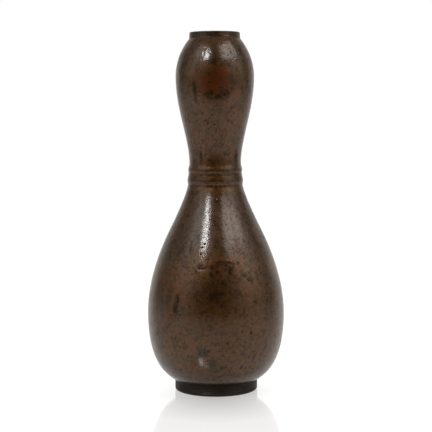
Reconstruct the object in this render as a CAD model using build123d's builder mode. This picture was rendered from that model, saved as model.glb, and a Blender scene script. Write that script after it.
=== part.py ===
from build123d import *
import math
import os

os.makedirs("parts", exist_ok=True)

# A garlic-mouthed bronze hu vessel, made of two castings, a lip, a beaded sleeve and a foot.
# Sizes are in millimetres. The foot stands on z = 0, the axis is Z and the front faces -Y.
# In every outline the first number is a radius and the second a height.

# Heights
total_height = 280.0
foot_height = 8.2
belly_level = 61.2
shoulder_level = 128.0
collar_level = 160.6
collar_height = 17.0
rim_height = 5.1
bulb_drop = 29.4

# Outside radii
foot_radius = 32.4
belly_radius = 53.65
shoulder_radius = 35.4
collar_radius = 20.2
collar_taper = 1.4
bulb_radius = 30.7
rim_radius = 19.7

# Slopes of the outside, in degrees: the underside and the crown from level, the others from upright
underside_slope = 34.0
shoulder_slope = 26.4
neck_root_slope = 16.0
neck_lean = 0.0
crown_slope = 48.6
crown_inside_slope = 13.5

# Fullness of each curve at its lower and upper end, as a share of that curve's own height
underside_fullness = (0.131, 0.792)
belly_fullness = (0.375, 0.303)
shoulder_fullness = (0.300, 0.359)
neck_fullness = (0.300, 0.371)
crown_fullness = (0.450, 0.239)
floor_turn_fullness = 0.172
shoulder_inside_fullness = (0.450, 0.200)
crown_inside_fullness = (0.360, 0.250)

# Walls
body_wall = 2.4
bulb_wall = 2.4
tube_wall = 1.7
collar_wall = 1.7
lip_wall = 4.2
spigot_wall = 1.8
foot_wall = 5.4
flange_wall = 2.4
base_thickness = 2.2

# The floor inside is aimed level at a corner this far in from the belly's wall, and turns up there
floor_corner_inset = 0.488

# Joints: the solder film, the lengths that enter and the small steps seen at the seams
solder_gap = 0.15
spigot_length = 4.0
flange_length = 2.3
foot_step = 0.2
rim_flare = 0.2
rim_step = 0.16

# Edges
lip_round = 0.9
foot_outer_round = 1.8
foot_inner_round = 0.8

# Beads of the collar: two rounded ones, the lower one wider, and a groove between them where the
# sleeve is fullest. Places and widths are shares of the collar's height, counted from its top.
groove_place = 0.447
groove_swell = 0.27
upper_bead_place = 0.188
upper_bead_share = 0.365
upper_bead_relief = 0.57
lower_bead_place = 0.688
lower_bead_share = 0.425
lower_bead_relief = 0.52

# Chaplets: square spacers through the walls, placed below the widest and the shoulder levels.
# The low ring is turned so that one shows at the front, left of the middle.
chaplet_size = 6.0
low_chaplet_count = 4
low_chaplet_drop = 23.8
low_chaplet_turn = -101.5
high_chaplet_count = 3
high_chaplet_drop = 20.0
high_chaplet_turn = 90.0
bulb_chaplet_count = 3
bulb_chaplet_drop = 9.4
bulb_chaplet_turn = 90.0

# Places and radii that follow from the sizes above
rim_level = total_height - rim_height
bulb_level = rim_level - bulb_drop
collar_top = collar_level + collar_height
joint_level = collar_level + collar_height / 2
spigot_end = rim_level - spigot_length
flange_end = foot_height - flange_length
base_under = flange_end - base_thickness
floor_level = foot_height + body_wall
low_chaplet_level = belly_level - low_chaplet_drop
high_chaplet_level = shoulder_level - high_chaplet_drop
bulb_chaplet_level = bulb_level - bulb_chaplet_drop

seam_radius = foot_radius - foot_step
foot_bore = foot_radius - foot_wall
flange_radius = foot_bore - solder_gap
flange_bore = flange_radius - flange_wall
floor_corner = belly_radius - body_wall - floor_corner_inset
floor_inside_fullness = (
    (floor_corner - flange_bore) / (belly_level - floor_level), floor_turn_fullness,
)
collar_low_radius = collar_radius + collar_taper
groove_radius = collar_radius + groove_place * collar_taper + groove_swell
collar_bore = collar_radius - collar_wall
tube_radius = collar_bore - solder_gap
tube_bore = tube_radius - tube_wall
mouth_radius = rim_radius - lip_wall
spigot_radius = mouth_radius + spigot_wall
opening_radius = spigot_radius + solder_gap
rim_low_radius = rim_radius + rim_flare
crown_radius = rim_low_radius + rim_step


def swept_curve(start, start_angle, end, end_angle, fullness):
    """Draws one smooth curve that leaves and arrives at the given angles from level."""
    height = end[1] - start[1]
    leave = math.radians(start_angle)
    arrive = math.radians(end_angle)
    first = (
        start[0] + fullness[0] * height * math.cos(leave),
        start[1] + fullness[0] * height * math.sin(leave),
    )
    second = (
        end[0] - fullness[1] * height * math.cos(arrive),
        end[1] - fullness[1] * height * math.sin(arrive),
    )
    return Bezier(start, first, second, end)


# Outside of the lower casting: underside, belly and shoulder
with BuildLine() as body_outline:
    swept_curve(
        (seam_radius, foot_height), underside_slope,
        (belly_radius, belly_level), 90.0, underside_fullness,
    )
    swept_curve(
        (belly_radius, belly_level), 90.0,
        (shoulder_radius, shoulder_level), 90.0 + shoulder_slope, belly_fullness,
    )
    swept_curve(
        (shoulder_radius, shoulder_level), 90.0 + shoulder_slope,
        (collar_low_radius, collar_level), 90.0 + neck_root_slope, shoulder_fullness,
    )

# Outside of the upper casting: neck and bulb, then the crown that closes in to the lip
with BuildLine() as bulb_outline:
    swept_curve(
        (collar_radius, collar_top), 90.0 - neck_lean,
        (bulb_radius, bulb_level), 90.0, neck_fullness,
    )
    swept_curve(
        (bulb_radius, bulb_level), 90.0,
        (crown_radius, rim_level), 180.0 - crown_slope, crown_fullness,
    )

# Inside of the lower casting, one wall in from its outside and closing in to the flange and the tube
shoulder_lean = math.radians(shoulder_slope)
shoulder_inside = (
    shoulder_radius - body_wall * math.cos(shoulder_lean),
    shoulder_level - body_wall * math.sin(shoulder_lean),
)
with BuildLine() as body_lining:
    swept_curve(
        (flange_bore, floor_level), 0.0,
        (belly_radius - body_wall, belly_level), 90.0, floor_inside_fullness,
    )
    swept_curve(
        (belly_radius - body_wall, belly_level), 90.0,
        shoulder_inside, 90.0 + shoulder_slope, belly_fullness,
    )
    swept_curve(
        shoulder_inside, 90.0 + shoulder_slope,
        (tube_bore, collar_level), 90.0, shoulder_inside_fullness,
    )

# Inside of the upper casting, from its tube to the mouth that takes the lip
with BuildLine() as bulb_lining:
    swept_curve(
        (tube_bore, collar_top), 90.0,
        (bulb_radius - bulb_wall, bulb_level), 90.0, neck_fullness,
    )
    swept_curve(
        (bulb_radius - bulb_wall, bulb_level), 90.0,
        (opening_radius, spigot_end), 180.0 - crown_inside_slope, crown_inside_fullness,
    )

# Wall of the lower casting: a flange under it enters the foot, a tube above it enters the collar
with BuildPart() as body_shell:
    with BuildSketch(Plane.XZ):
        with BuildLine():
            add(body_outline.line)
            Polyline(
                (collar_low_radius, collar_level),
                (tube_radius, collar_level),
                (tube_radius, joint_level),
                (tube_bore, joint_level),
                (tube_bore, collar_level),
            )
            add(body_lining.line)
            Polyline(
                (flange_bore, floor_level),
                (flange_bore, flange_end),
                (flange_radius, flange_end),
                (flange_radius, foot_height),
                (seam_radius, foot_height),
            )
        make_face()
    revolve(axis=Axis.Z)

# Wall of the upper casting: a tube below it enters the collar, and its mouth takes the lip
with BuildPart() as bulb_shell:
    with BuildSketch(Plane.XZ):
        with BuildLine():
            add(bulb_outline.line)
            Polyline(
                (crown_radius, rim_level),
                (opening_radius, rim_level),
                (opening_radius, spigot_end),
            )
            add(bulb_lining.line)
            Polyline(
                (tube_bore, collar_top),
                (tube_bore, joint_level),
                (tube_radius, joint_level),
                (tube_radius, collar_top),
                (collar_radius, collar_top),
            )
        make_face()
    revolve(axis=Axis.Z)

# Prisms that mark out the chaplets, from inside the vessel to well outside it
with BuildPart() as body_chaplet_prisms:
    with Locations((0, 0, low_chaplet_level)):
        with PolarLocations(chaplet_size, low_chaplet_count, low_chaplet_turn):
            Box(belly_radius, chaplet_size, chaplet_size, align=(Align.MIN, Align.CENTER, Align.CENTER))
    with Locations((0, 0, high_chaplet_level)):
        with PolarLocations(chaplet_size, high_chaplet_count, high_chaplet_turn):
            Box(belly_radius, chaplet_size, chaplet_size, align=(Align.MIN, Align.CENTER, Align.CENTER))

with BuildPart() as bulb_chaplet_prisms:
    with Locations((0, 0, bulb_chaplet_level)):
        with PolarLocations(chaplet_size, bulb_chaplet_count, bulb_chaplet_turn):
            Box(bulb_radius, chaplet_size, chaplet_size, align=(Align.MIN, Align.CENTER, Align.CENTER))

# The lower casting with a hole for each chaplet, and the chaplets that fill them flush
with BuildPart() as lower_body:
    add(body_shell.part)
    add(body_chaplet_prisms.part, mode=Mode.SUBTRACT)

with BuildPart() as body_chaplets:
    add(body_shell.part)
    add(body_chaplet_prisms.part, mode=Mode.INTERSECT)

# The upper casting and its chaplets
with BuildPart() as upper_bulb:
    add(bulb_shell.part)
    add(bulb_chaplet_prisms.part, mode=Mode.SUBTRACT)

with BuildPart() as bulb_chaplets:
    add(bulb_shell.part)
    add(bulb_chaplet_prisms.part, mode=Mode.INTERSECT)

# The collar: a tapered sleeve round both tubes, with two rounded beads
upper_bead_way = upper_bead_place / groove_place
lower_bead_way = (lower_bead_place - groove_place) / (1 - groove_place)
beads = (
    (collar_radius + upper_bead_way * (groove_radius - collar_radius), upper_bead_place,
     upper_bead_share, upper_bead_relief),
    (groove_radius + lower_bead_way * (collar_low_radius - groove_radius), lower_bead_place,
     lower_bead_share, lower_bead_relief),
)
with BuildPart() as neck_collar:
    with BuildSketch(Plane.XZ):
        Polygon(
            (collar_bore, collar_level),
            (collar_low_radius, collar_level),
            (groove_radius, collar_top - groove_place * collar_height),
            (collar_radius, collar_top),
            (collar_bore, collar_top),
            align=None,
        )
        for radius, place, share, relief in beads:
            with Locations((radius, collar_top - place * collar_height)):
                Ellipse(relief, share * collar_height / 2)
    revolve(axis=Axis.Z)

# The lip: a spigot enters the bulb's mouth and the flared ring seats on the crown
with BuildPart() as mouth_rim:
    with BuildSketch(Plane.XZ) as rim_section:
        Polygon(
            (mouth_radius, spigot_end),
            (spigot_radius, spigot_end),
            (spigot_radius, rim_level),
            (rim_low_radius, rim_level),
            (rim_radius, total_height),
            (mouth_radius, total_height),
            align=None,
        )
        fillet(rim_section.vertices().group_by(Axis.Y)[-1], lip_round)
    revolve(axis=Axis.Z)

# The foot: an upright turned ring that the lower casting sits on
with BuildPart() as foot_ring:
    with BuildSketch(Plane.XZ) as foot_section:
        with Locations(((foot_bore + foot_radius) / 2, foot_height / 2)):
            Rectangle(foot_wall, foot_height)
        foot_edges = foot_section.vertices().group_by(Axis.Y)[0].sort_by(Axis.X)
        fillet(foot_edges[-1], foot_outer_round)
        inner_edge = foot_section.vertices().group_by(Axis.Y)[0].sort_by(Axis.X)[0]
        fillet(inner_edge, foot_inner_round)
    revolve(axis=Axis.Z)

# The disc inside the foot that closes the core opening, seated against the flange
with BuildPart() as base_plate:
    with Locations((0, 0, base_under)):
        Cylinder(flange_radius, base_thickness, align=(Align.CENTER, Align.CENTER, Align.MIN))

# Solder films, each filling the gap of its joint
with BuildPart() as rim_solder:
    with Locations((0, 0, spigot_end)):
        Cylinder(opening_radius, spigot_length, align=(Align.CENTER, Align.CENTER, Align.MIN))
        Cylinder(
            spigot_radius, spigot_length,
            align=(Align.CENTER, Align.CENTER, Align.MIN), mode=Mode.SUBTRACT,
        )

with BuildPart() as neck_solder:
    with Locations((0, 0, collar_level)):
        Cylinder(collar_bore, collar_height, align=(Align.CENTER, Align.CENTER, Align.MIN))
        Cylinder(
            tube_radius, collar_height,
            align=(Align.CENTER, Align.CENTER, Align.MIN), mode=Mode.SUBTRACT,
        )

with BuildPart() as foot_solder:
    with Locations((0, 0, flange_end)):
        Cylinder(foot_bore, flange_length, align=(Align.CENTER, Align.CENTER, Align.MIN))
        Cylinder(
            flange_radius, flange_length,
            align=(Align.CENTER, Align.CENTER, Align.MIN), mode=Mode.SUBTRACT,
        )

with BuildPart() as base_solder:
    with Locations((0, 0, base_under)):
        Cylinder(foot_bore, base_thickness, align=(Align.CENTER, Align.CENTER, Align.MIN))
        Cylinder(
            flange_radius, base_thickness,
            align=(Align.CENTER, Align.CENTER, Align.MIN), mode=Mode.SUBTRACT,
        )

lower_body.part.label = "lower_body"
upper_bulb.part.label = "upper_bulb"
neck_collar.part.label = "neck_collar"
mouth_rim.part.label = "mouth_rim"
foot_ring.part.label = "foot_ring"
base_plate.part.label = "base_plate"
body_chaplets.part.label = "body_chaplets"
bulb_chaplets.part.label = "bulb_chaplets"
rim_solder.part.label = "rim_solder"
neck_solder.part.label = "neck_solder"
foot_solder.part.label = "foot_solder"
base_solder.part.label = "base_solder"

export_step(lower_body.part, "parts/lower_body.step")
export_step(upper_bulb.part, "parts/upper_bulb.step")
export_step(neck_collar.part, "parts/neck_collar.step")
export_step(mouth_rim.part, "parts/mouth_rim.step")
export_step(foot_ring.part, "parts/foot_ring.step")
export_step(base_plate.part, "parts/base_plate.step")
export_step(body_chaplets.part, "parts/body_chaplets.step")
export_step(bulb_chaplets.part, "parts/bulb_chaplets.step")
export_step(rim_solder.part, "parts/rim_solder.step")
export_step(neck_solder.part, "parts/neck_solder.step")
export_step(foot_solder.part, "parts/foot_solder.step")
export_step(base_solder.part, "parts/base_solder.step")
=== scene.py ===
# %% [markdown]
# # A garlic-mouthed bronze hu, dressed around its CAD frame
# The vessel is two bronze castings joined by a beaded sleeve, with a separate lip and foot. The
# frame brings every node in metres: the foot stands on z = 0, the axis is Z, the front is -Y.

# %% Load the frame
import math
import random

import bmesh
import bpy
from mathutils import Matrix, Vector


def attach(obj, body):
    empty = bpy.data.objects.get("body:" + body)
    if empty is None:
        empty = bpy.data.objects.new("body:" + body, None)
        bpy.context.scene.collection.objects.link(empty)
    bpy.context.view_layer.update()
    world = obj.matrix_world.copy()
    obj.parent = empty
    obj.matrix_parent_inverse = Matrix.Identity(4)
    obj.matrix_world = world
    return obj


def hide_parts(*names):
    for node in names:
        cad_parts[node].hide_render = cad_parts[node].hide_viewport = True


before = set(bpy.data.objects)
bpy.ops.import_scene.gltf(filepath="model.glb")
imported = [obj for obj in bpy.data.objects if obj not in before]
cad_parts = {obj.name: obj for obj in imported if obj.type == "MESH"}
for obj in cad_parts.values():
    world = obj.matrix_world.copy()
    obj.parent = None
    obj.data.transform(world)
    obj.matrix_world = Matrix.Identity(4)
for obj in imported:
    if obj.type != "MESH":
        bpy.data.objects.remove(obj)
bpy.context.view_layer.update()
MM = 0.001
print("nodes", sorted(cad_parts))

# %% [markdown]
# ## Camera
# A camera could be placed by eye, but the outline in the photograph gives it more closely: one metre
# from the axis, a little below the bulb, looking slightly down through a long lens. The vessel stands
# a quarter of a degree off upright in the picture, so the camera rolls by that much and the vessel
# stays upright.

# %% Camera
PHOTO_PIXELS = 432
FOCAL_PIXELS = 1279.0
SENSOR_WIDTH = 36.0
CAMERA_DISTANCE = 1.000
CAMERA_HEIGHT = 0.218
CAMERA_SIDE = 0.0008
CAMERA_PITCH = 4.63
CAMERA_ROLL = 0.263

bpy.ops.object.select_all(action="DESELECT")
bpy.ops.object.camera_add(
    location=(CAMERA_SIDE, -CAMERA_DISTANCE, CAMERA_HEIGHT),
    rotation=(math.radians(90.0 - CAMERA_PITCH), math.radians(CAMERA_ROLL), 0.0),
)
camera = bpy.context.object
camera.data.sensor_width = SENSOR_WIDTH
camera.data.lens = FOCAL_PIXELS / PHOTO_PIXELS * SENSOR_WIDTH
bpy.context.scene.camera = camera
bpy.context.scene.view_settings.view_transform = "Standard"
print("lens", round(camera.data.lens, 2), "mm")

# %% [markdown]
# ## Colours and nodes
# Colours are written as sRGB hex values, as a picture editor shows them, and turned to linear by the
# standard sRGB curve. Nodes could be wired one by one, but one function keeps it short: it adds a
# node, sets its settings, and either links or sets each of its sockets.

# %% Colour and node helpers
MATH = "ShaderNodeMath"
VECTOR_MATH = "ShaderNodeVectorMath"
MAP_RANGE = "ShaderNodeMapRange"
NOISE = "ShaderNodeTexNoise"


def linear(hex_colour):
    """Turns an sRGB hex colour into linear red, green, blue and full alpha."""
    channels = []
    for start in (1, 3, 5):
        value = int(hex_colour[start:start + 2], 16) / 255
        channels.append(value / 12.92 if value <= 0.04045 else ((value + 0.055) / 1.055) ** 2.4)
    return (*channels, 1.0)


def add_node(tree, kind, sockets=None, **settings):
    """Adds one node; a socket given a node or an output is linked, any other value is set."""
    node = tree.nodes.new(kind)
    for name, value in settings.items():
        setattr(node, name, value)
    for socket, value in (sockets or {}).items():
        if isinstance(value, bpy.types.Node):
            value = value.outputs[0]
        if isinstance(value, bpy.types.NodeSocket):
            tree.links.new(value, node.inputs[socket])
        else:
            node.inputs[socket].default_value = value
    return node


print("mid grey is", round(linear("#808080")[0], 3), "in linear light")

# %% [markdown]
# ## Studio
# The photograph was taken on a glossy white table with a white backdrop behind it and a dark room
# behind the camera. The waxed bronze mirrors all of that: pale edges from the backdrop, a dark
# middle from the room, and a lighter underside from the table. Walls could be modelled for it, but
# tones by direction do the same with less. They were read off the bronze: dark before the vessel,
# slightly warm grey walls at the sides, white behind, and a soft glow on the walls below each lamp.

# %% Studio tones
# The room's tones are pairs of a turn from the room's middle, in degrees, and a brightness.
ROOM_TURN = -4.5
ROOM_TONES = (
    (0, 0.01), (23, 0.06), (33, 0.12), (45, 0.24), (57, 0.31), (76, 0.31), (95, 0.27),
    (112, 0.18), (120, 0.20), (129, 0.47), (160, 0.54),
)
ROOM_TINT = (1.04, 0.99, 0.92)
# The backdrop starts and is full at two cosines from its middle, the ceiling at two sines from level.
BACKDROP_TURN, BACKDROP_EDGE = 180.0, (0.94, 0.975)
CEILING_EDGE, CEILING_TONE = (0.50, 0.74), 0.20
# Each glow has a turn, a rise, a brightness and a power that makes it narrow.
WALL_GLOWS = ((-58.0, 34.0, 0.65, 13.0), (68.0, 34.0, 1.0, 13.0))


def pointing(turn, rise):
    """Returns the direction at a turn from the front and a rise from level, both in degrees."""
    turn, rise = math.radians(turn), math.radians(rise)
    return Vector((math.sin(turn) * math.cos(rise), -math.cos(turn) * math.cos(rise), math.sin(rise)))


print("room tones", len(ROOM_TONES), "wall glows", len(WALL_GLOWS))

# %% Room and backdrop
world = bpy.data.worlds.new("white_backdrop_dark_room")
bpy.context.scene.world = world
world.use_nodes = True
studio = world.node_tree
studio.nodes.clear()
direction = add_node(studio, "ShaderNodeTexCoord").outputs["Generated"]
level = add_node(studio, VECTOR_MATH, {0: direction, 1: (1.0, 1.0, 0.0)}, operation="MULTIPLY")
around = add_node(studio, VECTOR_MATH, {0: level}, operation="NORMALIZE")
to_room = add_node(studio, VECTOR_MATH, {0: around, 1: pointing(ROOM_TURN, 0.0)}, operation="DOT_PRODUCT")
from_room = add_node(
    studio, MAP_RANGE, {"Value": to_room.outputs["Value"], "From Min": 1.0, "From Max": -1.0},
)
room = add_node(studio, "ShaderNodeValToRGB", {"Fac": from_room})
stops = room.color_ramp.elements
while len(stops) < len(ROOM_TONES):
    stops.new(0.5)
for stop, (turn, tone) in zip(stops, ROOM_TONES):
    stop.position = (1.0 - math.cos(math.radians(turn))) / 2
    stop.color = (tone, tone, tone, 1.0)
to_backdrop = add_node(
    studio, VECTOR_MATH, {0: around, 1: pointing(BACKDROP_TURN, 0.0)}, operation="DOT_PRODUCT",
)
backdrop = add_node(
    studio, MAP_RANGE,
    {"Value": to_backdrop.outputs["Value"], "From Min": BACKDROP_EDGE[0], "From Max": BACKDROP_EDGE[1]},
    interpolation_type="SMOOTHSTEP",
)
print("room stops", len(stops))

# %% Ceiling and wall glows
height = add_node(studio, "ShaderNodeSeparateXYZ", {0: direction})
overhead = add_node(
    studio, MAP_RANGE,
    {"Value": height.outputs["Z"], "From Min": CEILING_EDGE[0], "From Max": CEILING_EDGE[1]},
    interpolation_type="SMOOTHSTEP",
)
tone = add_node(studio, "ShaderNodeMix", {0: overhead, 2: room, 3: CEILING_TONE})
looking = add_node(studio, VECTOR_MATH, {0: direction}, operation="NORMALIZE")
for turn, rise, brightness, narrowness in WALL_GLOWS:
    to_glow = add_node(studio, VECTOR_MATH, {0: looking, 1: pointing(turn, rise)}, operation="DOT_PRODUCT")
    facing = add_node(studio, MATH, {0: to_glow.outputs["Value"], 1: 0.0}, operation="MAXIMUM")
    glow = add_node(studio, MATH, {0: facing, 1: narrowness}, operation="POWER")
    tone = add_node(studio, MATH, {0: glow, 1: brightness, 2: tone}, operation="MULTIPLY_ADD")
print("world nodes so far", len(studio.nodes))

# %% What each ray sees of the studio
# The camera sees plain white. Mirrored rays see the tones, with white where the backdrop stands.
seen = add_node(studio, "ShaderNodeLightPath")
direct_view = add_node(
    studio, MATH,
    {0: seen.outputs["Is Camera Ray"], 1: seen.outputs["Is Transmission Ray"]}, operation="MAXIMUM",
)
white_seen = add_node(
    studio, MATH, {0: seen.outputs["Is Glossy Ray"], 1: backdrop, 2: direct_view}, operation="MULTIPLY_ADD",
)
warm_tone = add_node(studio, VECTOR_MATH, {0: ROOM_TINT, "Scale": tone}, operation="SCALE")
shown = add_node(studio, VECTOR_MATH, {0: warm_tone, 1: white_seen}, operation="MAXIMUM")
background = add_node(studio, "ShaderNodeBackground", {"Color": shown, "Strength": 1.0})
add_node(studio, "ShaderNodeOutputWorld", {"Surface": background})
print("world nodes", len(studio.nodes))

# %% [markdown]
# ## Table
# A white acrylic table, so shiny that the foot and belly are mirrored in it, and glowing as if lit from
# below, so that no lamp's shadow falls on it. Its glow is dimmed close to the foot and just before it,
# as a painted shadow of the vessel. A lamp below a clear sheet could give the glow, but a sheet that
# glows by itself is simpler and has no noise. Its front edge lies 0.71 m before the vessel, because
# bulb, neck and belly all mirror that edge as the line where their lighter underside ends. The bronze
# mirrors a dimmer table than the camera sees.

# %% Table
# The plane starts one metre wide each way from its middle, so it is stretched by half widths.
TABLE_FRONT = -0.71
TABLE_BACK = 3.0
TABLE_HALF_WIDTH = 3.0

bpy.ops.object.select_all(action="DESELECT")
bpy.ops.mesh.primitive_plane_add(size=2.0)
table = bpy.context.object
table.name = "white_table"
bpy.ops.object.mode_set(mode="EDIT")
bpy.ops.transform.resize(value=(TABLE_HALF_WIDTH, (TABLE_BACK - TABLE_FRONT) / 2, 1.0))
bpy.ops.transform.translate(value=(0.0, (TABLE_BACK + TABLE_FRONT) / 2, 0.0))
bpy.ops.object.mode_set(mode="OBJECT")
print("table from", TABLE_FRONT, "to", TABLE_BACK, "m")

# %% Glossy white acrylic
# A cast sheet with a polished face: it gives the eye a pale, even ground and a clear, faint mirror.
TABLE_GREY, TABLE_ROUGHNESS, TABLE_IOR = "#898987", 0.07, 1.5
TABLE_LIGHT = (0.58, 1.00)
TABLE_LIGHT_REACH = (0.005, 0.085)
# The glow is dimmed round a place just before the foot, narrowed across, as painted shadow of the vessel.
TABLE_SHADOW_SHIFT, TABLE_SHADOW_SQUEEZE = (0.0, 0.030, 0.0), (1.3, 1.0, 1.0)
TABLE_MIRRORED = 0.48

acrylic = bpy.data.materials.new("glossy_white_acrylic")
acrylic.use_nodes = True
tree = acrylic.node_tree
tree.nodes.clear()
on_table = add_node(
    tree, "ShaderNodeMapping",
    {
        "Vector": add_node(tree, "ShaderNodeTexCoord").outputs["Object"],
        "Location": TABLE_SHADOW_SHIFT, "Scale": TABLE_SHADOW_SQUEEZE,
    },
)
# Painted shadow: the table's glow is lowest at that place and full beyond the reach.
from_shadow_middle = add_node(tree, VECTOR_MATH, {0: on_table}, operation="LENGTH")
glow_past_shadow = add_node(
    tree, MAP_RANGE,
    {
        "Value": from_shadow_middle.outputs["Value"],
        "From Min": TABLE_LIGHT_REACH[0], "From Max": TABLE_LIGHT_REACH[1],
        "To Min": TABLE_LIGHT[0], "To Max": TABLE_LIGHT[1],
    },
)
held_back = add_node(tree, "ShaderNodeFresnel", {"IOR": TABLE_IOR})
let_out = add_node(tree, MATH, {0: 1.0, 1: held_back}, operation="SUBTRACT")
light_out = add_node(tree, MATH, {0: glow_past_shadow, 1: let_out}, operation="MULTIPLY")
print("table light from", TABLE_LIGHT[0], "to", TABLE_LIGHT[1])

# %% What each ray sees of the table
ray = add_node(tree, "ShaderNodeLightPath")
direct_view = add_node(
    tree, MATH,
    {0: ray.outputs["Is Camera Ray"], 1: ray.outputs["Is Transmission Ray"]}, operation="MAXIMUM",
)
seen_by = add_node(
    tree, MATH,
    {0: ray.outputs["Is Glossy Ray"], 1: TABLE_MIRRORED, 2: direct_view}, operation="MULTIPLY_ADD",
)
lift = add_node(tree, MATH, {0: light_out, 1: seen_by}, operation="MULTIPLY")
sheet = add_node(
    tree, "ShaderNodeBsdfPrincipled",
    {
        "Base Color": linear(TABLE_GREY), "Roughness": TABLE_ROUGHNESS, "IOR": TABLE_IOR,
        "Emission Color": (1.0, 1.0, 1.0, 1.0), "Emission Strength": lift,
    },
)
add_node(tree, "ShaderNodeOutputMaterial", {"Surface": sheet})
table.data.materials.append(acrylic)
print("table nodes", len(tree.nodes))

# %% [markdown]
# ## Lamps
# The crown and the shoulder both mirror the lamps, so their directions follow from the photograph. A
# narrow bright strip stands on the left with a soft glow beside it, and a broad dim panel on the right
# with a glow beyond it, all 43 to 48 degrees up. Glowing panels could be modelled, but area lamps give
# the same streaks with less noise. Each is given by its direction, size in metres and brightness.

# %% Lamps
LAMP_DISTANCE = 1.85
LAMP_TARGET = Vector((0.0, 0.0, 0.19))
LAMPS = {
    "left_strip": {
        "turn": -29.8, "rise": 43.5, "size": (0.15, 0.46), "radiance": 46.0, "warmth": (0.97, 0.98, 1.0),
    },
    "left_glow": {
        "turn": -48.0, "rise": 45.5, "size": (1.25, 0.78), "radiance": 1.0, "warmth": (1.0, 0.97, 0.95),
    },
    "right_panel": {
        "turn": 39.0, "rise": 47.5, "size": (0.66, 0.88), "radiance": 3.4, "warmth": (1.0, 0.92, 0.86),
    },
    "right_glow": {
        "turn": 69.0, "rise": 46.0, "size": (0.66, 0.82), "radiance": 2.6, "warmth": (1.0, 0.92, 0.86),
    },
}
for name, lamp in LAMPS.items():
    out = pointing(lamp["turn"], lamp["rise"])
    bpy.ops.object.light_add(type="AREA", location=LAMP_TARGET + LAMP_DISTANCE * out)
    light = bpy.context.object
    light.name = name
    light.rotation_euler = out.to_track_quat("Z", "Y").to_euler()
    light.data.shape = "RECTANGLE"
    light.data.size, light.data.size_y = lamp["size"]
    light.data.color = lamp["warmth"]
    light.data.energy = lamp["radiance"] * math.pi * lamp["size"][0] * lamp["size"][1]
    print(name, round(light.data.energy, 2), "W")

# %% [markdown]
# ## Outlines
# Every piece of the vessel is a body of revolution, so each starts as an outline of radius and
# height in millimetres. The smooth stretches could be drawn point by point. Curves with two handles
# and the same sizes as the frame need fewer numbers and fit it exactly: each leaves and arrives at a
# known angle, and its fullness is a share of its own height.

# %% Sizes shared with the frame
TOTAL_HEIGHT = 280.0
FOOT_HEIGHT, FOOT_RADIUS, FOOT_BORE = 8.2, 32.4, 27.0
SEAM_RADIUS = 32.2
FLANGE_RADIUS, FLANGE_BORE, FLANGE_END = 26.85, 24.45, 5.9
FLOOR_LEVEL, BASE_UNDER = 10.6, 3.7
BELLY_RADIUS, BELLY_LEVEL = 53.65, 61.2
SHOULDER_RADIUS, SHOULDER_LEVEL = 35.4, 128.0
COLLAR_LEVEL, COLLAR_TOP, JOINT_LEVEL = 160.6, 177.6, 169.1
COLLAR_LOW_RADIUS, COLLAR_RADIUS, COLLAR_BORE = 21.6, 20.2, 18.5
TUBE_RADIUS, TUBE_BORE = 18.35, 16.65
BULB_RADIUS, BULB_LEVEL = 30.7, 245.5
RIM_LEVEL, RIM_RADIUS, RIM_LOW_RADIUS, CROWN_RADIUS = 274.9, 19.7, 19.9, 20.06
MOUTH_RADIUS, SPIGOT_RADIUS, OPENING_RADIUS, SPIGOT_END = 15.5, 17.3, 17.45, 270.9
WALL = 2.4
print("height", TOTAL_HEIGHT, "mm, widest", 2 * BELLY_RADIUS, "mm")

# %% Angles and fullness shared with the frame
# Angles are in degrees from level, and each fullness is for a curve's lower and upper end.
LEVEL, UPRIGHT = 0.0, 90.0
UNDERSIDE_ANGLE, UNDERSIDE_FULLNESS = 34.0, (0.131, 0.792)
BELLY_FULLNESS = (0.375, 0.303)
SHOULDER_LEAN, SHOULDER_FULLNESS = 26.4, (0.300, 0.359)
SHOULDER_ANGLE = UPRIGHT + SHOULDER_LEAN
NECK_ROOT_ANGLE, NECK_FULLNESS = 106.0, (0.300, 0.371)
CROWN_ANGLE, CROWN_FULLNESS = 131.4, (0.450, 0.239)
FLOOR_FULLNESS = (0.520, 0.172)
SHOULDER_INSIDE_FULLNESS = (0.450, 0.200)
CROWN_INSIDE_ANGLE, CROWN_INSIDE_FULLNESS = 166.5, (0.360, 0.250)
print("shoulder at", SHOULDER_ANGLE, "degrees")


# %% Curve helpers
SAME_POINT = 0.001


def curve_points(start, leave, end, arrive, fullness, count):
    """Returns points of one curve that leaves and arrives at the given angles from level."""
    height = end[1] - start[1]
    leave, arrive = math.radians(leave), math.radians(arrive)
    first = (
        start[0] + fullness[0] * height * math.cos(leave),
        start[1] + fullness[0] * height * math.sin(leave),
    )
    second = (
        end[0] - fullness[1] * height * math.cos(arrive),
        end[1] - fullness[1] * height * math.sin(arrive),
    )
    points = []
    for step in range(count + 1):
        t = step / count
        weights = ((1 - t) ** 3, 3 * t * (1 - t) ** 2, 3 * t ** 2 * (1 - t), t ** 3)
        corners = (start, first, second, end)
        points.append(tuple(sum(w * c[i] for w, c in zip(weights, corners)) for i in (0, 1)))
    return points


def joined(*runs):
    """Joins runs of points, leaving out a point that repeats the one before it."""
    outline = []
    for run in runs:
        for point in run:
            if not outline or math.dist(point, outline[-1]) > SAME_POINT:
                outline.append(point)
    return outline


# %% Spin helpers
MERGE_DISTANCE = 0.01
SMOOTH_ANGLE = 40.0


def start_piece(name, operator, **settings):
    """Adds a primitive with nothing else selected, names it and opens it for editing."""
    bpy.ops.object.select_all(action="DESELECT")
    operator(**settings)
    piece = bpy.context.object
    piece.name = piece.data.name = name
    bpy.ops.object.mode_set(mode="EDIT")
    bpy.ops.mesh.select_all(action="SELECT")
    return piece


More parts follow.
